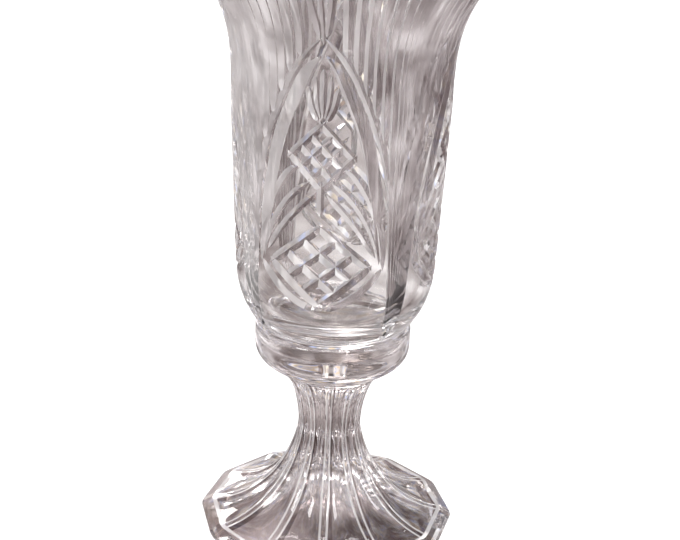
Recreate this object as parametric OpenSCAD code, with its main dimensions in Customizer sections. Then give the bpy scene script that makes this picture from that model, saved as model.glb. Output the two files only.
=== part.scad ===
// Two-piece footed crystal vase. The flared, cut body stands in the cup of a fluted pedestal
// and lifts out of it. Millimetres, +Z up, origin at the centre of the foot's resting face.

/* [Foot] */
// Width of the foot across its corners
foot_d = 128; // [124:1:132]
// Height of the foot's outer edge, where its sloping top begins
foot_edge_h = 2.5; // [2:0.5:3.5]
// Radius of the recess under the foot
recess_r = 54; // [52:1:56]
// Depth of that recess at the centre
recess_h = 20; // [12:1:22]

/* [Stem and cup] */
// Number of flutes round the foot, the stem and the cup, and of sides on the foot
flutes = 12; // [10:1:14]
// Depth of a flute on the stem, as a share of its width
stem_flute = 0.09; // [0.05:0.01:0.11]
// Depth of a flute on the foot, as a share of its width
foot_flute = 0.055; // [0.03:0.005:0.08]
// Height of the waist, where the upper and lower stem are fused
waist_h = 52.6; // [50:0.2:56]
// Radius of the waist on the ribs
waist_r = 15.6; // [14:0.1:17]
// Outer radius of the cup
cup_r = 37.7; // [37:0.1:39]
// Height of the top of the cup's lip
lip_h = 107; // [107:0.5:108]
// Height of the cup's floor, which the body stands on
seat_h = 97.2; // [96:0.2:99]

/* [Vase body] */
// Height of the rim above the table
rim_h = 280; // [274:1:290]
// Outer radius of the rim
rim_r = 68; // [64:1:70]
// Outer radius at the bottom of the straight wall
wall_low_r = 47.6; // [46:0.1:49]
// Outer radius at the top of the straight wall
wall_high_r = 50.8; // [49:0.1:52]
// Thickness of the straight wall
wall_t = 6; // [5:0.5:7]
// Thickness of the glass at the rim
rim_t = 3.8; // [3:0.1:4.5]
// Height of the inside floor
floor_h = 109; // [107:0.5:112]
// Turn of the body in its cup, against the ribs of the foot, in degrees
body_turn = -7.5; // [-15:0.5:15]

/* [Cutting] */
// Number of cut panels round the body, with a sheaf of long cuts between each two
panels = 4; // [3:1:5]
// Number of long cuts in a sheaf
sheaf_cuts = 5; // [3:2:7]
// Number of straight cuts that make up one side of the pointed arch round a panel
arch_cuts = 6; // [4:1:8]
// Depth of the cuts
cut_depth = 1.8; // [1:0.1:2.2]
// Number of scallops round the rim
scallops = 28; // [20:4:36]
// Depth of a scallop
scallop_depth = 2; // [1:0.5:3]

/* [Hidden] */

$fn = 100;
columns = 12;                      // points across a flute
rib_share = 0.2;                   // a rib's half width, as a share of half a flute
foot_r = foot_d / 2;
bottom_r = foot_r - 1.2;           // the foot's edge leans in towards the table
band_r = foot_r - 5.5;             // inner line of the bevelled band round the foot
band_h = foot_edge_h + 3.1;
wall_low_h = 138;                  // the straight wall runs between these two heights
wall_high_h = 216;
shoulder_r = 36.3;                 // where the body comes out over the cup's lip
shoulder_h = lip_h + 0.6;
plug_r = 33;                       // the part of the body that stands inside the cup
base_r = 27.5;
base_edge_h = 2.7;
base_edge_r = plug_r - 1.3;
seat_gap = 0.4;
lip_round = 2.2;
edge_break = 0.8;
stem_top = [26.1, 83];             // where the fluted stem passes into the smooth cup
scallop_r = 12;
tuck = 0.05;                       // how far the stem's top is drawn in under the cup

// Outlines as cubic curves, each by its four control points [radius, height]
foot_curve = [[band_r, band_h], [30, band_h + 3.2], [waist_r + 1.4, waist_h - 15.5], [waist_r, waist_h]];
stem_curve = [[waist_r, waist_h], [waist_r, waist_h + 11.4], [19.6, 78.2], stem_top];
cup_curve = [stem_top, [34, 88.8], [cup_r, 89.5], [cup_r, 98]];
shoulder_curve = [[shoulder_r, shoulder_h], [42.4, 116.4], [46.4, 122.5], [wall_low_r, wall_low_h]];
flare_curve = [[wall_high_r, wall_high_h], [wall_high_r, 244.8], [51.4, 257], [rim_r, rim_h - edge_break]];
inner_flare = [[wall_high_r - wall_t, wall_high_h], [wall_high_r - wall_t, 246],
               [47, 259], [rim_r - rim_t, rim_h - edge_break]];
inner_floor = [[0, floor_h], [27, floor_h], [wall_low_r - wall_t - 0.5, 115], [wall_low_r - wall_t, wall_low_h]];
recess_curve = [[recess_r, 0], [recess_r - 16, 7], [recess_r / 2 - 5, recess_h], [0, recess_h]];
// The arch round a panel, by its control points [angle from the panel's centre, height]
arch_curve = [[0, 252], [17, 238], [33, 190], [37.5, 128]];

function mix(a, b, t) = a * (1 - t) + b * t;
function curve(p, t) =
    p[0] * pow(1 - t, 3) + 3 * p[1] * t * pow(1 - t, 2) + 3 * p[2] * t * t * (1 - t) + p[3] * pow(t, 3);
function steps(p, count) = [for (i = [0:count]) curve(p, i / count)];
function backwards(list) = [for (i = [len(list) - 1:-1:0]) list[i]];
function heading(p, t) = curve(p, min(t + 0.01, 1)) - curve(p, max(t - 0.01, 0));
function outward(p, t) = let (d = heading(p, t)) [d[1], -d[0]] / norm(d);

// Share of a flute's full depth at a place across it, from -1 at one rib to 1 at the next
function scoop(across) = max(0, 1 - pow(across / (1 - rib_share), 2));

// Depth of a flute at its middle, for a ring of that radius
function flute_depth(r) =
    mix(stem_flute, foot_flute, min(1, max(0, (r - 18) / 22))) * 2 * r * sin(180 / flutes);

// A ring of points at share t of an outline. Between two ribs the ring follows the straight
// chord where round_share is 0 and the circle where it is 1, less the hollow of the flute.
function ring(p, t, fade, round_share = 0) = [
    for (k = [0:flutes * columns - 1]) let (
        angle = k * 360 / (flutes * columns),
        across = 2 * (k % columns) / columns - 1,
        chord = cos(180 / flutes) / cos(180 * across / flutes),
        at = curve(p, t),
        out = outward(p, t),
        hollow = flute_depth(at[0]) * fade * scoop(across),
        r = at[0] * mix(chord, 1, round_share) - hollow * out[0]
    ) [r * cos(angle), r * sin(angle), at[1] - hollow * out[1]]
];
function flat_ring(r, z, round_share = 0) = ring([for (i = [0:3]) [r, z + i / 100]], 0, 0, round_share);

// A closed solid through a stack of rings, lowest first
module ring_solid(rings) {
    n = len(rings[0]);
    top = (len(rings) - 1) * n;
    sides = [for (i = [0:len(rings) - 2], j = [0:n - 1]) let (a = i * n, b = a + n, k = (j + 1) % n)
        each [[a + j, b + j, b + k], [a + j, b + k, a + k]]];
    polyhedron([for (r = rings) each r],
               concat([[for (j = [0:n - 1]) j], [for (j = [n - 1:-1:0]) top + j]], sides));
}

// Lower stem and twelve-sided foot, hollowed underneath
module pedestal_foot() {
    count = 14;
    sloping = [for (i = [0:count]) ring(foot_curve, i / count, sqrt(sin(180 * i / count)))];
    color("thistle") difference() {
        ring_solid(concat([flat_ring(bottom_r, 0), flat_ring(foot_r, foot_edge_h)], sloping));
        rotate_extrude() polygon(concat([[0, -1], [recess_r, -1]], steps(recess_curve, 10)));
    }
}

// Upper stem, with flutes that end below the cup, and the smooth cup that holds the body
module pedestal_cup() {
    count = 10;
    stem = [for (i = [0:count]) ring(stem_curve, i / count, sqrt(sin(180 * i / count)), pow(i / count, 3))];
    tucked = [for (step = [tuck, 2]) flat_ring(stem_top[0] - step, stem_top[1] + step, 1)];
    color("lightsteelblue") difference() {
        union() {
            ring_solid(concat([for (i = [0:count - 1]) stem[i]], tucked));
            rotate_extrude() polygon(concat(
                [[0, stem_top[1]]],
                steps(cup_curve, 9),
                [for (a = [0:15:90]) [cup_r, lip_h] + lip_round * [cos(a) - 1, sin(a) - 1]],
                [[0, lip_h]]));
        }
        rotate_extrude() polygon([
            [0, seat_h],
            [base_r + seat_gap, seat_h],
            [base_edge_r + seat_gap, seat_h + base_edge_h - seat_gap],
            [plug_r + seat_gap, lip_h - edge_break],
            [plug_r + seat_gap + edge_break, lip_h + 0.01],
            [plug_r, lip_h + 1],
            [0, lip_h + 1]]);
    }
}

// A long V-shaped cut in the straight wall: angle round the body, height of its middle,
// lean to one side and length
module mitre_cut(angle, z, lean, length, depth = cut_depth) {
    reach = 4;
    wall_r = mix(wall_low_r, wall_high_r, (z - wall_low_h) / (wall_high_h - wall_low_h));
    slope = atan((wall_high_r - wall_low_r) / (wall_high_h - wall_low_h));
    rotate([0, 0, angle]) translate([wall_r, 0, z]) rotate([0, slope, 0]) rotate([lean, 0, 0])
        linear_extrude(length, center = true)
            polygon([[-depth, 0], [reach, depth + reach], [reach, -depth - reach]]);
}

// A fan of long cuts that spreads upwards
module sheaf() {
    spread = 3.6;
    for (i = [0:sheaf_cuts - 1]) {
        place = i - (sheaf_cuts - 1) / 2;
        mitre_cut(place * spread * 1.6, 184, -place * spread * 0.8, 118);
    }
}

// A diamond of two crossed sets of short parallel cuts, each set stepped along the other's line
module lattice(z, lines, pitch) {
    lean = 38;
    for (side = [-1, 1], i = [0:lines - 1]) {
        along = (i - (lines - 1) / 2) * pitch;
        angle = atan(along * sin(lean) * side / wall_low_r);
        mitre_cut(angle, z + along * cos(lean), side * lean, (lines + 0.4) * pitch, cut_depth * 0.8);
    }
}

// A pointed arch of straight cuts laid end to end up the two sides of a panel
module arch() {
    overlap = 1.5;
    path = steps(arch_curve, arch_cuts);
    for (side = [-1, 1], i = [0:arch_cuts - 1]) {
        centre = (path[i] + path[i + 1]) / 2;
        rise = path[i][1] - path[i + 1][1];
        run = (path[i + 1][0] - path[i][0]) * PI / 180 * wall_high_r;
        mitre_cut(side * centre[0], centre[1], side * atan(run / rise), norm([run, rise]) + overlap);
    }
}

// Flared body with a plug that stands in the cup
module vase_body() {
    outside = concat(
        [[0, seat_h], [base_r, seat_h], [base_edge_r, seat_h + base_edge_h], [plug_r, lip_h - 0.1]],
        steps(shoulder_curve, 10),
        steps(flare_curve, 14),
        [[rim_r - edge_break, rim_h]]);
    inside = concat(
        [[rim_r - rim_t + edge_break, rim_h]],
        backwards(steps(inner_flare, 14)),
        backwards(steps(inner_floor, 10)));
    color("gainsboro") rotate([0, 0, body_turn - 90]) difference() {
        rotate_extrude() polygon(concat(outside, inside));
        for (i = [0:scallops - 1])
            rotate([0, 0, (i + 0.5) * 360 / scallops])
                translate([wall_high_r, 0, rim_h - scallop_depth + scallop_r])
                    rotate([0, 90, 0]) cylinder(r = scallop_r, h = rim_r);
        for (i = [0:panels - 1]) rotate([0, 0, i * 360 / panels]) {
            arch();
            lattice(152, 4, 8.5);
            lattice(203, 3, 7);
            rotate([0, 0, 180 / panels]) sheaf();
        }
    }
}

vase_body();
pedestal_cup();
pedestal_foot();
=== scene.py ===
# Footed crystal vase: a cut body standing in the cup of a fluted pedestal. Metres, Z up.
import math

import bmesh
import bpy
from mathutils import Matrix, Vector


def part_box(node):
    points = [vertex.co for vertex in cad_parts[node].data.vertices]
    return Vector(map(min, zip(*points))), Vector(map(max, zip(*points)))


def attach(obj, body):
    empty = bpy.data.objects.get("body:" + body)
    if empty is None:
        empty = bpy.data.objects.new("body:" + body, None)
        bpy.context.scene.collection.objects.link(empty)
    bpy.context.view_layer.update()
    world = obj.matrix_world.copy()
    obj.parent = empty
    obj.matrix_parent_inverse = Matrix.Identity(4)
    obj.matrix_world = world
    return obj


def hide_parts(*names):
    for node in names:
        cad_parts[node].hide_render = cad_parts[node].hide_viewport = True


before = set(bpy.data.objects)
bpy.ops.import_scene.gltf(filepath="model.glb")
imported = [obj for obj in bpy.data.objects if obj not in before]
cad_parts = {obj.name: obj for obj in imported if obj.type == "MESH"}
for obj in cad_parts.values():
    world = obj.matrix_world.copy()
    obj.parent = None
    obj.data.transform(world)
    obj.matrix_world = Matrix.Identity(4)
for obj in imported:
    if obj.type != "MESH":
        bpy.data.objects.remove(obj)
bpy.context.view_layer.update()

mm = 0.001

# Heights and radii that the whole object is drawn from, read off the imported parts
bodyLow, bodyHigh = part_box("vase_body")
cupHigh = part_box("pedestal_cup")[1]
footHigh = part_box("pedestal_foot")[1]
rimHeight = bodyHigh.z
rimRadius = (bodyHigh.x - bodyLow.x) / 2
seatHeight = bodyLow.z
lipHeight = cupHigh.z
cupRadius = cupHigh.x
waistHeight = footHigh.z
footRadius = footHigh.x


# Drawing helpers

def cubic(points, t):
    a, b, c, d = (Vector(p) for p in points)
    return a * (1 - t) ** 3 + b * 3 * t * (1 - t) ** 2 + c * 3 * t * t * (1 - t) + d * t ** 3


def sweepOf(points, count, first=0):
    return [cubic(points, i / count) for i in range(first, count + 1)]


def between(low, high, share):
    return Vector(low).lerp(Vector(high), share)


def smoothStep(low, high, value):
    t = min(max((value - low) / (high - low), 0), 1)
    return t * t * (3 - 2 * t)


def pathPoint(points, t):
    # a smooth curve through all the points, at share t of the way
    last = len(points) - 1
    place = min(t * last, last - 1e-6)
    i = int(place)
    f = place - i
    p0 = points[max(i - 1, 0)]
    p1 = points[i]
    p2 = points[i + 1]
    p3 = points[min(i + 2, last)]
    return tuple(
        0.5 * (2 * b + (c - a) * f + (2 * a - 5 * b + 4 * c - d) * f * f + (3 * b - a - 3 * c + d) * f ** 3)
        for a, b, c, d in zip(p0, p1, p2, p3)
    )


def spinRound(bm, verts, steps):
    # joins the vertices by edges and turns them once round the axis
    edges = [bm.edges.new(pair) for pair in zip(verts, verts[1:])]
    bmesh.ops.spin(bm, geom=verts + edges, cent=(0, 0, 0), axis=(0, 0, 1), angle=math.tau, steps=steps,
                   use_merge=True)


def closeUp(bm):
    bmesh.ops.remove_doubles(bm, verts=bm.verts, dist=1e-6)
    bmesh.ops.recalc_face_normals(bm, faces=bm.faces)


def lathe(outline, steps):
    # turns an outline of (radius, height) round the axis into a closed mesh
    bm = bmesh.new()
    spinRound(bm, [bm.verts.new((p[0], 0, p[1])) for p in outline], steps)
    closeUp(bm)
    return bm


def pieceFrom(bm, name, material, sharpAngle=28):
    mesh = bpy.data.meshes.new(name)
    bm.to_mesh(mesh)
    bm.free()
    obj = bpy.data.objects.new(name, mesh)
    bpy.context.scene.collection.objects.link(obj)
    mesh.materials.append(material)
    mesh.shade_smooth()
    mesh.set_sharp_from_angle(angle=math.radians(sharpAngle))
    return obj


def noiseOf(nodes, scale, detail=2):
    node = nodes.new("ShaderNodeTexNoise")
    node.inputs["Scale"].default_value = scale
    node.inputs["Detail"].default_value = detail
    return node


def rampOf(nodes, stops):
    # a colour ramp through stops of (place, colour)
    node = nodes.new("ShaderNodeValToRGB")
    elements = node.color_ramp.elements
    elements[0].position = stops[0][0]
    elements[0].color = (*stops[0][1], 1)
    elements[1].position = stops[-1][0]
    elements[1].color = (*stops[-1][1], 1)
    for place, colour in stops[1:-1]:
        elements.new(place).color = (*colour, 1)
    return node


# Crystal

def crystalMaterial(name, look):
    mat = bpy.data.materials.new(name)
    mat.use_nodes = True
    nodes, links = mat.node_tree.nodes, mat.node_tree.links
    nodes.clear()
    out = nodes.new("ShaderNodeOutputMaterial")
    glass = nodes.new("ShaderNodeBsdfPrincipled")
    glass.inputs["Transmission Weight"].default_value = look["clear"]
    glass.inputs["IOR"].default_value = look["ior"]
    coords = nodes.new("ShaderNodeTexCoord")
    # faint streaks in the melt tint the glass; the darker and whiter looks use the same tint for painted
    # shade and painted highlight
    streaks = noiseOf(nodes, look["streakScale"])
    tint = rampOf(nodes, [(look["tintSpan"][0], look["deepTint"]), (look["tintSpan"][1], look["paleTint"])])
    links.new(coords.outputs["Object"], streaks.inputs["Vector"])
    links.new(streaks.outputs["Fac"], tint.inputs["Fac"])
    links.new(tint.outputs["Color"], glass.inputs["Base Color"])
    # polish that isn't quite even
    polish = noiseOf(nodes, look["polishScale"])
    rough = nodes.new("ShaderNodeMapRange")
    rough.inputs["To Min"].default_value = look["roughness"][0]
    rough.inputs["To Max"].default_value = look["roughness"][1]
    links.new(coords.outputs["Object"], polish.inputs["Vector"])
    links.new(polish.outputs["Fac"], rough.inputs["Value"])
    links.new(rough.outputs["Result"], glass.inputs["Roughness"])
    # the slight waviness of hand-cut glass
    waves = noiseOf(nodes, look["waveScale"], 1)
    bump = nodes.new("ShaderNodeBump")
    bump.inputs["Strength"].default_value = look["waveStrength"]
    bump.inputs["Distance"].default_value = look["waveHeight"]
    links.new(coords.outputs["Object"], waves.inputs["Vector"])
    links.new(waves.outputs["Fac"], bump.inputs["Height"])
    links.new(bump.outputs["Normal"], glass.inputs["Normal"])
    # lamps shine through instead of casting a solid shadow
    through = nodes.new("ShaderNodeBsdfTransparent")
    through.inputs["Color"].default_value = (*look["shadowTint"], 1)
    rays = nodes.new("ShaderNodeLightPath")
    mix = nodes.new("ShaderNodeMixShader")
    links.new(rays.outputs["Is Shadow Ray"], mix.inputs["Fac"])
    links.new(glass.outputs["BSDF"], mix.inputs[1])
    links.new(through.outputs["BSDF"], mix.inputs[2])
    links.new(mix.outputs["Shader"], out.inputs["Surface"])
    return mat


bodyLook = {
    "ior": 1.54,
    "clear": 1.0,                     # the rest is milky
    "deepTint": (0.90, 0.88, 0.875),
    "paleTint": (0.97, 0.965, 0.96),
    "tintSpan": (0.35, 0.65),         # where in the streaks the deep tint ends and the pale one begins
    "streakScale": 30,
    "roughness": (0.0, 0.02),
    "polishScale": 60,
    "waveScale": 45,
    "waveStrength": 0.1,
    "waveHeight": 0.4 * mm,
    "shadowTint": (0.90, 0.89, 0.89),
}
# the pedestal's glass is tinted darker than the body's, in stronger streaks: painted shade
pedestalLook = dict(
    bodyLook, deepTint=(0.62, 0.56, 0.555), paleTint=(0.90, 0.87, 0.87), streakScale=24)
shadeLook = dict(                     # painted shade on the cuts' flanks that face clockwise
    bodyLook, clear=0.85, deepTint=(0.10, 0.07, 0.072), paleTint=(0.52, 0.47, 0.475), streakScale=38)
paintedHighlightLook = dict(                     # painted highlight on those that face anticlockwise, and on the rims of the ribs
    bodyLook, clear=0.68, deepTint=(0.86, 0.84, 0.83), paleTint=(1, 1, 0.99), streakScale=38)
flankLook = dict(                     # painted shade on the strips beside those ribs
    bodyLook, clear=0.85, deepTint=(0.05, 0.03, 0.03), paleTint=(0.34, 0.27, 0.27))
insideLook = dict(bodyLook, roughness=(0.0, 0.03))
recessLook = dict(                    # the hollow under the foot, rougher and tinted darker: painted shade
    bodyLook, deepTint=(0.34, 0.27, 0.265), paleTint=(0.74, 0.69, 0.69), streakScale=16,
    roughness=(0.12, 0.2))
groundAndShadeLook = dict(                    # the ground faces of the plug and the seat: rougher, and tinted darker in a mottle, painted shade between the parts
    bodyLook, deepTint=(0.28, 0.23, 0.21), paleTint=(0.84, 0.79, 0.77), streakScale=130,
    roughness=(0.08, 0.18), waveStrength=0.3, waveScale=900, waveHeight=0.05 * mm)
bodyCrystal = crystalMaterial("bodyCrystal", bodyLook)
shadeCrystal = crystalMaterial("shadeCrystal", shadeLook)
paintedHighlightCrystal = crystalMaterial("paintedHighlightCrystal", paintedHighlightLook)
flankCrystal = crystalMaterial("flankCrystal", flankLook)
recessCrystal = crystalMaterial("recessCrystal", recessLook)
insideCrystal = crystalMaterial("insideCrystal", insideLook)
groundAndShadeCrystal = crystalMaterial("groundAndShadeCrystal", groundAndShadeLook)
pedestalCrystal = crystalMaterial("pedestalCrystal", pedestalLook)
print("materials made")


# Vase body

body = {
    "turn": -7.5,                    # degrees, panel centre against the foot's front rib
    "panels": 4,
    "steps": 288,
    "shoulder": 36.3 * mm,
    "shoulderGap": 0.6 * mm,         # between the shoulder and the cup's lip
    "plug": 33 * mm,
    "plugTaper": (1.3 * mm, 2.7 * mm),
    "base": 27.5 * mm,
    "wallLow": (47.6 * mm, 138 * mm),
    "wallHigh": (50.8 * mm, 216 * mm),
    "wall": 6 * mm,
    "rim": 3.8 * mm,                 # the wall at the rim
    "rimSoft": (0.25 * mm, 0.8 * mm),
    "floor": 109 * mm,
    "sharpAngle": 20,
    "flanksFrom": 123 * mm,          # where the painted shade and painted highlight on the flanks of the cuts begin
    "leanLeast": 0.2,                # how far a flank with painted shade or painted highlight turns from straight outwards, at least
    "outwardLeast": 0.05,            # and how far an outer face looks outwards
}
outerRows = {"shoulder": 16, "wall": 26, "flare": 26}
innerRows = {"floor": 22, "wall": 6, "flare": 20}
innerLow = (body["wallLow"][0] - body["wall"], body["wallLow"][1])
innerHigh = (body["wallHigh"][0] - body["wall"], body["wallHigh"][1])
shoulderCurve = [(body["shoulder"], lipHeight + body["shoulderGap"]), (42.4 * mm, 116.4 * mm),
                 (46.4 * mm, 122.5 * mm), body["wallLow"]]
flareCurve = [body["wallHigh"], (50.8 * mm, 244.8 * mm), (51.4 * mm, 257 * mm),
              (rimRadius, rimHeight - body["rimSoft"][1])]
innerFlare = [innerHigh, (44.8 * mm, 246 * mm), (47 * mm, 259 * mm),
              (rimRadius - body["rim"], rimHeight - body["rimSoft"][1])]
innerFloor = [(0, body["floor"]), (27 * mm, body["floor"]), (40.8 * mm, 115 * mm), innerLow]
outerOutline = (
    sweepOf(shoulderCurve, outerRows["shoulder"])
    + [between(body["wallLow"], body["wallHigh"], i / outerRows["wall"])
       for i in range(1, outerRows["wall"])]
    + sweepOf(flareCurve, outerRows["flare"])
)


def outerRadius(z):
    # the uncut wall's radius at a height
    if z <= outerOutline[0][1]:
        return outerOutline[0][0]
    for low, high in zip(outerOutline, outerOutline[1:]):
        if low[1] <= z <= high[1]:
            return low[0] + (high[0] - low[0]) * (z - low[1]) / (high[1] - low[1])
    low, high = outerOutline[-2:]
    return high[0] + (high[0] - low[0]) * (z - high[1]) / (high[1] - low[1])


def onWall(angle, z):
    # point and outward normal on the uncut wall, angle in degrees from the panel's centre
    turn = math.radians(angle)
    r = outerRadius(z)
    slope = (outerRadius(z + mm) - outerRadius(z - mm)) / (2 * mm)
    out = Vector((math.sin(turn), -math.cos(turn), -slope)).normalized()
    return Vector((r * math.sin(turn), -r * math.cos(turn), z)), out


cutEnd = {
    "runOut": 0.22,                  # share of a cut's length over which an end runs out
    "lift": 0.25 * mm,               # how far off the glass it ends
}


def addCut(bm, path, depth, halfAngle=45, stations=16, rise=0.5 * mm, ends=(1, 1), grow=0.0, skew=0):
    # a V-shaped wheel cut along a path of (angle, height in mm); ends say which ends run out,
    # grow how much deeper it is at its far end, and skew leans one flank out and the other in
    high = depth * (1 + grow) + rise
    wide = high * math.tan(math.radians(halfAngle + skew))
    narrow = high * math.tan(math.radians(halfAngle - skew))
    places = [pathPoint(path, i / stations) for i in range(stations + 1)]
    spots = [onWall(a, z * mm) for a, z in places]
    face = None
    for i, (spot, out) in enumerate(spots):
        before = spots[max(i - 1, 0)][0]
        after = spots[min(i + 1, stations)][0]
        along = (after - before).normalized()
        across = out.cross(along).normalized()
        t = i / stations
        fade = 1
        if ends[0]:
            fade = min(fade, math.sin(min(t / cutEnd["runOut"], 1) * math.pi / 2))
        if ends[1]:
            fade = min(fade, math.sin(min((1 - t) / cutEnd["runOut"], 1) * math.pi / 2))
        sink = depth * (1 + grow * t) * fade - (1 - fade) * cutEnd["lift"]
        tip = spot - out * sink
        corners = [tip, tip + out * high + across * wide, tip + out * high - across * narrow]
        if face is None:
            face = bm.faces.new([bm.verts.new(c) for c in corners])
            ring = list(face.verts)
            continue
        made = bmesh.ops.extrude_face_region(bm, geom=[face])["geom"]
        if i > 1:
            bmesh.ops.delete(bm, geom=[face], context="FACES_ONLY")
        fresh = [v for v in made if isinstance(v, bmesh.types.BMVert)]
        face = next(f for f in made if isinstance(f, bmesh.types.BMFace))
        following = [min(fresh, key=lambda v: (v.co - old.co).length_squared) for old in ring]
        for vert, corner in zip(following, corners):
            vert.co = corner
        ring = following


def turnBy(bm, verts, angle):
    bmesh.ops.rotate(bm, verts=verts, cent=(0, 0, 0), matrix=Matrix.Rotation(angle, 3, "Z"))


def cutAway(target, cuts, name):
    # takes one layer of cuts, repeated round the panels, out of the glass
    bm = bmesh.new()
    for cut in cuts:
        addCut(bm, **cut)
    bmesh.ops.recalc_face_normals(bm, faces=bm.faces)
    whole = bm.verts[:] + bm.edges[:] + bm.faces[:]
    quarter = math.tau / body["panels"]
    for i in range(1, body["panels"]):
        copy = bmesh.ops.duplicate(bm, geom=whole)["geom"]
        turnBy(bm, [v for v in copy if isinstance(v, bmesh.types.BMVert)], quarter * i)
    turnBy(bm, bm.verts, math.radians(body["turn"]))
    mesh = bpy.data.meshes.new(name)
    bm.to_mesh(mesh)
    bm.free()
    cutter = bpy.data.objects.new(name, mesh)
    bpy.context.scene.collection.objects.link(cutter)
    boolean = target.modifiers.new(name, "BOOLEAN")
    boolean.operation = "DIFFERENCE"
    boolean.solver = "MANIFOLD"
    boolean.object = cutter
    cleaned = bpy.data.meshes.new_from_object(target.evaluated_get(bpy.context.evaluated_depsgraph_get()))
    target.modifiers.clear()
    target.data = cleaned
    print(name, len(cleaned.polygons))
    bpy.data.objects.remove(cutter)


def wheelCut(path, depth, halfAngle, stations, **more):
    return dict(path=path, depth=depth * mm, halfAngle=halfAngle, stations=stations, **more)


def mirrored(cut):
    return dict(cut, path=[(-a, z) for a, z in cut["path"]], skew=-cut.get("skew", 0))


def bothSides(cuts):
    return [c for cut in cuts for c in (cut, mirrored(cut))]


def straight(a0, z0, a1, z1):
    return [(a0 + (a1 - a0) * i / 3, z0 + (z1 - z0) * i / 3) for i in range(4)]


def latticeCuts(centre, lean, pitch, lines, depth, extra, side):
    # one of the two crossed sets of a diamond lattice
    cuts = []
    r = outerRadius(centre * mm) / mm
    tilt = math.radians(lean)
    for i in range(lines):
        along = (i - (lines - 1) / 2) * pitch
        reach = (lines - 1) / 2 * pitch + extra
        u = -side * along * math.sin(tilt)
        v = along * math.cos(tilt)
        du = side * reach * math.sin(tilt)
        dv = reach * math.cos(tilt)
        first, last = math.degrees((u - du) / r), math.degrees((u + du) / r)
        cuts.append(wheelCut(straight(first, centre + v - dv, last, centre + v + dv), depth, 48, 14))
    return cuts


# the cuts' paths, in degrees from the panel's centre and mm above the table
arch = [(0, 249.5), (5.1, 242.4), (9.5, 233.9), (13.4, 225.9), (17.4, 217.7), (21, 207.8), (24.4, 194.4),
        (27.9, 179.5), (30.5, 164.7), (32.4, 152)]
outerArch = [(0, 257), (4.6, 252.5), (9.7, 247), (15.5, 239), (22.5, 226), (27.6, 215), (32, 203), (36, 188),
             (38.3, 170), (39.6, 150), (41, 130), (42.6, 114), (43.4, 108.5)]
upperLattice = {"centre": 203.5, "lean": 44, "pitch": 6.7, "lines": 4, "depth": 1.7, "extra": 2.6}
lowerLattice = {"centre": 152, "lean": 50, "pitch": 9.8, "lines": 4, "depth": 2.1, "extra": 2.4}
reeds = {
    "angles": [10, 15, 20, 25, 30, 35],    # where they meet the rim
    "spread": (1.1, 1.5),            # they start further out, by this ratio or at most this many degrees
    "clear": 1.5,                    # mm above the outer arch
    "bend": (0.45, 281),             # share of the way to this height at which they have half straightened
    "top": 282,
    "depth": 2.0,
}
sheaf = {
    "middle": 45,
    "spread": [(0.35, 128), (0.75, 160), (0.95, 200), (1, 240), (1, 283)],    # share of its angle by height
    "gathered": 0.06,                # and the share at its foot
    "depth": 1.7,
}


def archHeight(angle):
    for (a0, z0), (a1, z1) in zip(outerArch, outerArch[1:]):
        if a0 <= angle <= a1:
            return z0 + (z1 - z0) * (angle - a0) / (a1 - a0)
    return outerArch[-1][1]


def reed(angle):
    # a long cut from above the arch to the rim
    foot = min(angle * reeds["spread"][0], angle + reeds["spread"][1])
    start = archHeight(foot) + reeds["clear"]
    share, high = reeds["bend"]
    knee = (foot - (foot - angle) * 0.5, start + (high - start) * share)
    path = [(foot, start), knee, (angle, reeds["top"])]
    return wheelCut(path, reeds["depth"], 48, 24, ends=(1, 0), grow=0.1)


def sheafLine(angle, low):
    # a long cut that fans out from the foot of the sheaf
    gap = sheaf["middle"] - angle
    places = [(sheaf["gathered"], low)] + sheaf["spread"]
    path = [(sheaf["middle"] - gap * share, z) for share, z in places]
    return wheelCut(path, sheaf["depth"], 48, 32, ends=(1, 0), grow=0.35)


# the layers are taken out of the glass one after another
layers = {
    "archBand": bothSides([wheelCut(arch, 2.3, 47, 40, skew=21, rise=0.3 * mm)]),
    "outerArch": bothSides([wheelCut(outerArch, 1.9, 45, 44)]),
    "sheafHeart": [sheafLine(sheaf["middle"], 113)],
    "sheafMiddle": bothSides([sheafLine(42.4, 111)]),
    "sheafSides": bothSides([sheafLine(39.8, 109)]),
    "reedsA": bothSides([reed(a) for a in reeds["angles"][0::2]]),
    "reedsB": bothSides([reed(a) for a in reeds["angles"][1::2]]),
    "fan": [
        *bothSides([wheelCut([(1.5, 256.5), (3.6, 268), (5, 283)], 1.9, 42, 14, ends=(1, 0))]),
        wheelCut([(0, 253), (0, 268), (0, 283)], 1.2, 42, 14, ends=(1, 0)),
    ],
    "upperLatticeA": latticeCuts(**upperLattice, side=1),
    "upperLatticeB": latticeCuts(**upperLattice, side=-1),
    "lowerLatticeA": latticeCuts(**lowerLattice, side=1),
    "lowerLatticeB": latticeCuts(**lowerLattice, side=-1),
    "crownOuter": [
        *bothSides([wheelCut([(2, 219.5), (5.5, 226), (7.6, 235)], 1.8, 42, 12)]),
        wheelCut([(0, 221), (0, 231), (0, 243)], 1.9, 42, 12),
    ],
    "crownInner": bothSides([wheelCut([(1.2, 220.5), (3.2, 229), (3.9, 240)], 1.6, 40, 12)]),
    "leafA": bothSides([
        wheelCut([(2.6, 187), (12.8, 177.8), (22.1, 167.8), (30.5, 156)], 1.7, 44, 20),
        wheelCut([(10, 199), (16.3, 196), (23.2, 187.6), (28, 179), (31.6, 169), (34, 159), (35, 149)],
                 2.0, 44, 26),
    ]),
    "leafB": bothSides([
        wheelCut([(5, 192.5), (13.5, 186.5), (21, 178.5), (28, 167.5), (32.5, 156)], 1.7, 44, 20),
    ]),
    "stem": [wheelCut([(0, 193), (0, 185), (0, 176)], 1.8, 44, 12)],
    "hem": bothSides([wheelCut([(0.8, 131), (12, 134.5), (24, 141.5), (35, 151.5)], 2.0, 46, 20)]),
}


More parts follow.
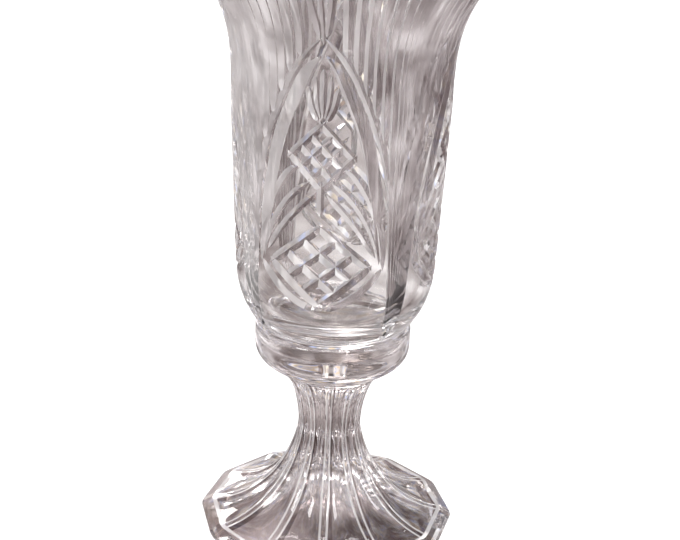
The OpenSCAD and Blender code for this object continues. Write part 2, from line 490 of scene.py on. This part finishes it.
def bodyOutline():
    # from the middle of the base, up the outside and down the inside
    taper, taperHeight = body["plugTaper"]
    near, far = body["rimSoft"]
    plugWall = [(0, seatHeight), (body["base"], seatHeight), (body["plug"] - taper, seatHeight + taperHeight),
                (body["plug"], lipHeight - 0.1 * mm)]
    rimTop = [(rimRadius - near, rimHeight - near), (rimRadius - far, rimHeight),
              (rimRadius - body["rim"] + far, rimHeight), (rimRadius - body["rim"] + near, rimHeight - near)]
    count = innerRows["wall"]
    innerWall = [between(innerLow, innerHigh, i / count) for i in range(count - 1, 0, -1)]
    return (
        [Vector(p) for p in plugWall] + outerOutline + [Vector(p) for p in rimTop]
        + sweepOf(innerFlare, innerRows["flare"])[::-1] + innerWall
        + sweepOf(innerFloor, innerRows["floor"])[::-1]
    )


def makeBody():
    obj = pieceFrom(lathe(bodyOutline(), body["steps"]), "vaseBody", bodyCrystal)
    for name, cuts in layers.items():
        cutAway(obj, cuts, name)
    obj.data.shade_smooth()
    obj.data.set_sharp_from_angle(angle=math.radians(body["sharpAngle"]))
    print("vase body", len(obj.data.polygons), "faces")
    return obj


def polishOrPaintedLight(obj, material, belongs):
    # gives the faces that belong to it another material: another polish for some, painted shade or painted
    # highlight for others
    obj.data.materials.append(material)
    for face in obj.data.polygons:
        if belongs(face.center, face.normal):
            face.material_index = len(obj.data.materials) - 1


def fromAxis(c):
    return math.hypot(c.x, c.y)


def facing(c, n):
    # how far a face looks outwards, and round the axis, below zero when it looks clockwise
    r = max(fromAxis(c), mm)
    return (c.x * n.x + c.y * n.y) / r, (c.x * n.y - c.y * n.x) / r


def onFlank(c, n, side):
    outward, around = facing(c, n)
    return c.z > body["flanksFrom"] and outward > body["outwardLeast"] and side * around > body["leanLeast"]


def isInside(c, n):
    inward = facing(c, n)[0] < -body["outwardLeast"]
    return c.z > body["floor"] - mm and (inward or fromAxis(c) < body["plug"])


def isGround(c, n):
    # the plug's wall and base
    return c.z < lipHeight - 0.2 * mm and fromAxis(c) < body["plug"] + 0.1 * mm


vaseBody = makeBody()
# painted shade on the flanks that face clockwise, painted highlight on those that face anticlockwise
polishOrPaintedLight(vaseBody, shadeCrystal, lambda c, n: onFlank(c, n, -1))
polishOrPaintedLight(vaseBody, paintedHighlightCrystal, lambda c, n: onFlank(c, n, 1))
polishOrPaintedLight(vaseBody, insideCrystal, isInside)
# the plug's ground faces, also tinted darker: painted shade between the parts
polishOrPaintedLight(vaseBody, groundAndShadeCrystal, isGround)
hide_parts("vase_body")
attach(vaseBody, "vase")


# Pedestal

pedestal = {
    "flutes": 12,
    "columns": 24,                    # spin steps across a flute
    "ribColumns": 4,                  # of them, on each half of a rib
    "ribHalf": 2.3 * mm,              # half the width of a rib
    "ribShare": (0.17, 0.34),         # and its least and greatest share of half a flute
    "highlightColumns": 2,
    "shadeColumns": 2,
    "ribEdge": 0.22 * mm,             # the two raised edges of a rib
    "stemRatio": 0.09,                # depth of a flute as a share of its width, on the stem
    "footRatio": 0.075,               # and on the foot
    "ratioTurns": (18 * mm, 40 * mm),    # radii between which the one becomes the other
    "fadeLeast": 0.02,                # a row with less of the flutes than this gets no painted highlight or painted shade
    "recess": (54 * mm, 20 * mm),
    "band": (footRadius - 5.5 * mm, 5.6 * mm),
    "edge": 2.5 * mm,                 # height of the foot's edge
    "edgeInset": (1.6 * mm, 1.15 * mm, 0.15 * mm, 0.2 * mm),    # of its corners, from the table up
    "waist": 15.6 * mm,
    "stemTop": (26.1 * mm, 83 * mm),
    "lipRound": 2.2 * mm,
    "seatGap": 0.4 * mm,
    "seatDrop": 0.1 * mm,
    "rows": {"recess": 30, "foot": 40, "stem": 30, "cup": 20},
    "sharpAngle": 11,
}
footCurve = [pedestal["band"], (30 * mm, 8.8 * mm), (pedestal["waist"] + 1.4 * mm, waistHeight - 15.5 * mm),
             (pedestal["waist"], waistHeight)]
stemCurve = [(pedestal["waist"], waistHeight), (pedestal["waist"], waistHeight + 11.4 * mm),
             (19.6 * mm, 78.2 * mm), pedestal["stemTop"]]
cupCurve = [pedestal["stemTop"], (34 * mm, 88.8 * mm), (cupRadius, 89.5 * mm), (cupRadius, 98 * mm)]
recessCurve = [(0, pedestal["recess"][1]), (22 * mm, pedestal["recess"][1]), (38 * mm, 7 * mm),
               (pedestal["recess"][0], 0)]
recessOutline = sweepOf(recessCurve, pedestal["rows"]["recess"])
seatRadius = body["plug"] + pedestal["seatGap"]
fluteHalf = math.pi / pedestal["flutes"]                         # half a flute's angle
ribStart = pedestal["columns"] / 2 - pedestal["ribColumns"]      # the column where a rib begins


def recessHeight(radius):
    for inner, outer in zip(recessOutline, recessOutline[1:]):
        if inner[0] <= radius <= outer[0]:
            return inner[1] + (outer[1] - inner[1]) * (radius - inner[0]) / (outer[0] - inner[0])
    return -1


def fluteFade(t):
    # the flutes run out at both ends of a curve
    return math.sqrt(math.sin(math.pi * t))


def pedestalOutline():
    # rows of (point, fade of the flutes, share of roundness), and the row where the foot's band begins
    rows = [(p, 0, 1) for p in recessOutline]
    edgeHeights = (0, 0.15 * mm, pedestal["edge"] - 0.2 * mm, pedestal["edge"] + 0.15 * mm)
    rows += [(Vector((footRadius - inset, z)), 0, 0) for inset, z in zip(pedestal["edgeInset"], edgeHeights)]
    bandRow = len(rows)
    count = pedestal["rows"]["foot"]
    rows += [(p, fluteFade(i / count), 0) for i, p in enumerate(sweepOf(footCurve, count))]
    count = pedestal["rows"]["stem"]
    stem = enumerate(sweepOf(stemCurve, count, 1), 1)
    rows += [(p, fluteFade(i / count), (i / count) ** 3) for i, p in stem]
    rows += [(p, 0, 1) for p in sweepOf(cupCurve, pedestal["rows"]["cup"], 1)]
    r = pedestal["lipRound"]
    for degrees in range(0, 91, 10):
        a = math.radians(degrees)
        rows.append((Vector((cupRadius - r + r * math.cos(a), lipHeight - r + r * math.sin(a))), 0, 1))
    seat = [
        (seatRadius + 0.8 * mm, lipHeight), (seatRadius + 0.25 * mm, lipHeight - 0.25 * mm),
        (seatRadius, lipHeight - 0.8 * mm),
        (body["plug"] - body["plugTaper"][0] + pedestal["seatGap"], seatHeight + 2.3 * mm),
        (body["base"] + pedestal["seatGap"], seatHeight - pedestal["seatDrop"]),
        (0, seatHeight - pedestal["seatDrop"]),
    ]
    return rows + [(Vector(p), 0, 1) for p in seat], bandRow


def acrossFlute(column, share):
    # a column's place across its flute, the chord there, and its shares of the hollow and of the rib's edge
    if abs(column) <= ribStart:
        across = column / ribStart * (1 - share)
        return across, math.cos(fluteHalf) / math.cos(fluteHalf * across), 1 - (across / (1 - share)) ** 2, 0
    place = (abs(column) - ribStart) / pedestal["ribColumns"]
    across = math.copysign(1 - share + share * place, column)
    start = math.cos(fluteHalf) / math.cos(fluteHalf * (1 - share))
    return across, start + (1 - start) * place * place * 0.5, 0, math.sin(math.pi * min(place * 2, 1))


def shapeFlutes(bm, rows, rowOf, columnOf):
    # the columns are gathered so that a rib keeps its width all the way down
    leastShare, mostShare = pedestal["ribShare"]
    for v in bm.verts:
        i = v[rowOf]
        p, fade, roundness = rows[i]
        if roundness == 1 and fade < 1e-6:
            continue
        angle = math.atan2(v.co.y, v.co.x)
        middle = (math.floor(angle / (2 * fluteHalf) + 1e-6) + 0.5) * 2 * fluteHalf
        column = round((angle - middle) / fluteHalf * pedestal["columns"] / 2)
        v[columnOf] = column
        share = min(max(pedestal["ribHalf"] / (p[0] * fluteHalf), leastShare), mostShare)
        across, chord, hollow, edge = acrossFlute(column, share)
        flare = smoothStep(*pedestal["ratioTurns"], p[0])
        ratio = pedestal["stemRatio"] * (1 - flare) + pedestal["footRatio"] * flare
        depth = ratio * 2 * p[0] * math.sin(fluteHalf) * fade * hollow - pedestal["ribEdge"] * fade * edge
        before, after = rows[max(i - 1, 0)][0], rows[min(i + 1, len(rows) - 1)][0]
        along = (after - before).normalized()
        out = Vector((along[1], -along[0]))
        radius = p[0] * (chord + (1 - chord) * roundness) - depth * out[0]
        angle = middle + across * fluteHalf
        v.co = (radius * math.cos(angle), radius * math.sin(angle), p[1] - depth * out[1])


def toneRibs(bm, rows, bandRow, rowOf, columnOf):
    # painted highlight on the rims of the ribs and of the foot's band, and painted shade on a narrow strip
    # beside each rib
    shine, shade = 1, 2
    for face in bm.faces:
        faceRows = [v[rowOf] for v in face.verts]
        columns = [v[columnOf] for v in face.verts]
        if max(rows[min(faceRows)][1], rows[max(faceRows)][1]) < pedestal["fadeLeast"]:
            continue
        if min(faceRows) == bandRow:
            face.material_index = shine
        elif max(columns) - min(columns) > 1:
            continue
        elif all(ribStart <= abs(c) <= ribStart + pedestal["highlightColumns"] for c in columns):
            face.material_index = shine
        elif all(-ribStart <= c <= -ribStart + pedestal["shadeColumns"] for c in columns):
            face.material_index = shade


def makePedestal():
    rows, bandRow = pedestalOutline()
    bm = bmesh.new()
    rowOf = bm.verts.layers.int.new("row")
    columnOf = bm.verts.layers.int.new("column")
    verts = []
    for i, row in enumerate(rows):
        v = bm.verts.new((row[0][0], 0, row[0][1]))
        v[rowOf] = i
        verts.append(v)
    spinRound(bm, verts, pedestal["flutes"] * pedestal["columns"])
    shapeFlutes(bm, rows, rowOf, columnOf)
    toneRibs(bm, rows, bandRow, rowOf, columnOf)
    closeUp(bm)
    obj = pieceFrom(bm, "pedestal", pedestalCrystal, pedestal["sharpAngle"])
    obj.data.materials.append(paintedHighlightCrystal)
    obj.data.materials.append(flankCrystal)
    return obj


def inRecess(c, n):
    return c.z < recessHeight(fromAxis(c)) + 0.3 * mm


def inSeat(c, n):
    return c.z > seatHeight - 0.2 * mm and fromAxis(c) < seatRadius + 0.05 * mm


pedestalPiece = makePedestal()
# painted shade: the hollow under the foot is tinted darker
polishOrPaintedLight(pedestalPiece, recessCrystal, inRecess)
# the seat's ground faces, also tinted darker: painted shade between the parts
polishOrPaintedLight(pedestalPiece, groundAndShadeCrystal, inSeat)
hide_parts("pedestal_cup", "pedestal_foot")
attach(pedestalPiece, "pedestal")
print("pedestal", len(pedestalPiece.data.polygons), "faces")


# Floor, world and lights

studio = {
    "floorSize": 8,
    "floorDrop": 0.0004,
    "floorPale": (0.93, 0.93, 0.935),
    "floorRoughness": 0.8,
    "mottleScale": 4.5,
    "mottle": [(0.36, (0.06, 0.032, 0.028)), (0.43, (0.19, 0.16, 0.157)), (0.52, (0.40, 0.37, 0.365)),
               (0.62, (0.72, 0.70, 0.70))],
    # painted shade on the floor under the foot, which the camera sees only through the glass
    "darkSpot": (0.035, 0.016, 0.014),
    "spotShift": (-0.030, 0.020, 0),  # from the spot's middle to the axis
    "spotReach": (0.020, 0.065),
    "worldPale": (0.95, 0.95, 0.96),
    "worldStrength": 1.0,
    "panelStretch": (1, 1, 0.35),
    "panelScale": 7,
    "panels": [(0.40, (0.045, 0.028, 0.028)), (0.46, (0.54, 0.51, 0.51)), (0.54, (0.82, 0.80, 0.80)),
               (0.62, (1.6, 1.6, 1.6))],
    "hueScale": 13,
    "hues": [(0.38, (0.50, 0.62, 1.0)), (0.46, (1, 1, 1)), (0.54, (1, 1, 1)), (0.62, (1.0, 0.84, 0.60))],
    "lampAim": (0, 0, 0.15),
    "glassBounces": 24,
    "glossyBounces": 8,
}
lamps = {
    "keyLeft": {"place": (-1.1, -0.9, 1.5), "size": (0.5, 0.7), "power": 14},
    "fillRight": {"place": (1.3, -0.6, 1.1), "size": (0.3, 0.9), "power": 7, "colour": (0.97, 0.98, 1)},
    "top": {"place": (0.1, 0.3, 2.0), "size": (0.7, 0.7), "power": 12},
    "back": {"place": (-0.5, 1.6, 0.9), "size": (0.6, 0.4), "power": 7, "colour": (1, 0.98, 0.95)},
}


def makeFloor():
    bm = bmesh.new()
    bmesh.ops.create_grid(bm, x_segments=4, y_segments=4, size=studio["floorSize"] / 2)
    bmesh.ops.translate(bm, verts=bm.verts, vec=(0, 0, -studio["floorDrop"]))
    mat = bpy.data.materials.new("paleFloor")
    mat.use_nodes = True
    nodes, links = mat.node_tree.nodes, mat.node_tree.links
    shader = nodes["Principled BSDF"]
    shader.inputs["Roughness"].default_value = studio["floorRoughness"]
    # what the glass bends into view is the mottled top of a table
    coords = nodes.new("ShaderNodeTexCoord")
    mottle = noiseOf(nodes, studio["mottleScale"], 3)
    shades = rampOf(nodes, studio["mottle"])
    links.new(coords.outputs["Object"], mottle.inputs["Vector"])
    links.new(mottle.outputs["Fac"], shades.inputs["Fac"])
    # with painted shade: a dark spot on the floor under the foot
    shift = nodes.new("ShaderNodeMapping")
    shift.inputs["Location"].default_value = studio["spotShift"]
    reach = nodes.new("ShaderNodeVectorMath")
    reach.operation = "LENGTH"
    near = nodes.new("ShaderNodeMapRange")
    near.interpolation_type = "SMOOTHSTEP"
    near.inputs["From Min"].default_value = studio["spotReach"][0]
    near.inputs["From Max"].default_value = studio["spotReach"][1]
    dark = nodes.new("ShaderNodeMixRGB")
    dark.inputs["Color1"].default_value = (*studio["darkSpot"], 1)
    links.new(coords.outputs["Object"], shift.inputs["Vector"])
    links.new(shift.outputs["Vector"], reach.inputs[0])
    links.new(reach.outputs["Value"], near.inputs["Value"])
    links.new(near.outputs["Result"], dark.inputs["Fac"])
    links.new(shades.outputs["Color"], dark.inputs["Color2"])
    # the camera sees an even pale floor instead
    rays = nodes.new("ShaderNodeLightPath")
    mix = nodes.new("ShaderNodeMixRGB")
    mix.inputs["Color2"].default_value = (*studio["floorPale"], 1)
    links.new(dark.outputs["Color"], mix.inputs["Color1"])
    links.new(rays.outputs["Is Camera Ray"], mix.inputs["Fac"])
    links.new(mix.outputs["Color"], shader.inputs["Base Color"])
    floor = pieceFrom(bm, "floor", mat)


def makeWorld():
    world = bpy.data.worlds.new("studio")
    bpy.context.scene.world = world
    world.use_nodes = True
    nodes, links = world.node_tree.nodes, world.node_tree.links
    nodes.clear()
    out = nodes.new("ShaderNodeOutputWorld")
    back = nodes.new("ShaderNodeBackground")
    back.inputs["Strength"].default_value = studio["worldStrength"]
    # the glass refracts a room of light and dark panels
    coords = nodes.new("ShaderNodeTexCoord")
    stretch = nodes.new("ShaderNodeMapping")
    stretch.inputs["Scale"].default_value = studio["panelStretch"]
    panels = noiseOf(nodes, studio["panelScale"], 1)
    shades = rampOf(nodes, studio["panels"])
    links.new(coords.outputs["Generated"], stretch.inputs["Vector"])
    links.new(stretch.outputs["Vector"], panels.inputs["Vector"])
    links.new(panels.outputs["Fac"], shades.inputs["Fac"])
    # small blue and amber patches stand for the colours that heavy crystal splits off
    patches = noiseOf(nodes, studio["hueScale"])
    hues = rampOf(nodes, studio["hues"])
    split = nodes.new("ShaderNodeMixRGB")
    split.blend_type = "MULTIPLY"
    split.inputs["Fac"].default_value = 1
    links.new(coords.outputs["Generated"], patches.inputs["Vector"])
    links.new(patches.outputs["Fac"], hues.inputs["Fac"])
    links.new(shades.outputs["Color"], split.inputs["Color1"])
    links.new(hues.outputs["Color"], split.inputs["Color2"])
    # the camera and the floor see an even pale room instead
    rays = nodes.new("ShaderNodeLightPath")
    plain = nodes.new("ShaderNodeMath")
    plain.operation = "MAXIMUM"
    mix = nodes.new("ShaderNodeMixRGB")
    mix.inputs["Color2"].default_value = (*studio["worldPale"], 1)
    links.new(rays.outputs["Is Camera Ray"], plain.inputs[0])
    links.new(rays.outputs["Is Diffuse Ray"], plain.inputs[1])
    links.new(plain.outputs["Value"], mix.inputs["Fac"])
    links.new(split.outputs["Color"], mix.inputs["Color1"])
    links.new(mix.outputs["Color"], back.inputs["Color"])
    links.new(back.outputs["Background"], out.inputs["Surface"])


def softbox(name, place, size, power, colour=(1, 1, 1)):
    lamp = bpy.data.lights.new(name, "AREA")
    lamp.shape = "RECTANGLE"
    lamp.size, lamp.size_y = size
    lamp.energy = power
    lamp.color = colour
    obj = bpy.data.objects.new(name, lamp)
    bpy.context.scene.collection.objects.link(obj)
    obj.location = place
    obj.rotation_euler = (Vector(studio["lampAim"]) - Vector(place)).to_track_quat("-Z", "Y").to_euler()


makeFloor()
makeWorld()
for lampName, lamp in lamps.items():
    softbox(lampName, **lamp)
print("studio made")


# Camera

view = {
    "away": 0.650, "height": 0.386, "turn": 1.335, "yaw": 0.206, "pitch": 21.28, "roll": 2.286,
    "lens": 77.1, "sensor": 36,
}


def makeCamera():
    data = bpy.data.cameras.new("camera")
    data.lens = view["lens"]
    data.sensor_width = view["sensor"]
    camera = bpy.data.objects.new("camera", data)
    bpy.context.scene.collection.objects.link(camera)
    bpy.context.scene.camera = camera
    turn = Matrix.Rotation(math.radians(view["turn"]), 4, "Z")
    look = (Matrix.Rotation(math.radians(view["turn"] - view["yaw"]), 4, "Z")
            @ Matrix.Rotation(math.radians(90 - view["pitch"]), 4, "X")
            @ Matrix.Rotation(math.radians(view["roll"]), 4, "Z"))
    camera.matrix_world = Matrix.Translation(turn @ Vector((0, -view["away"], view["height"]))) @ look


makeCamera()
scene = bpy.context.scene
scene.view_settings.view_transform = "Standard"
scene.cycles.max_bounces = studio["glassBounces"]
scene.cycles.transmission_bounces = studio["glassBounces"]
scene.cycles.transparent_max_bounces = studio["glassBounces"]
scene.cycles.glossy_bounces = studio["glossyBounces"]
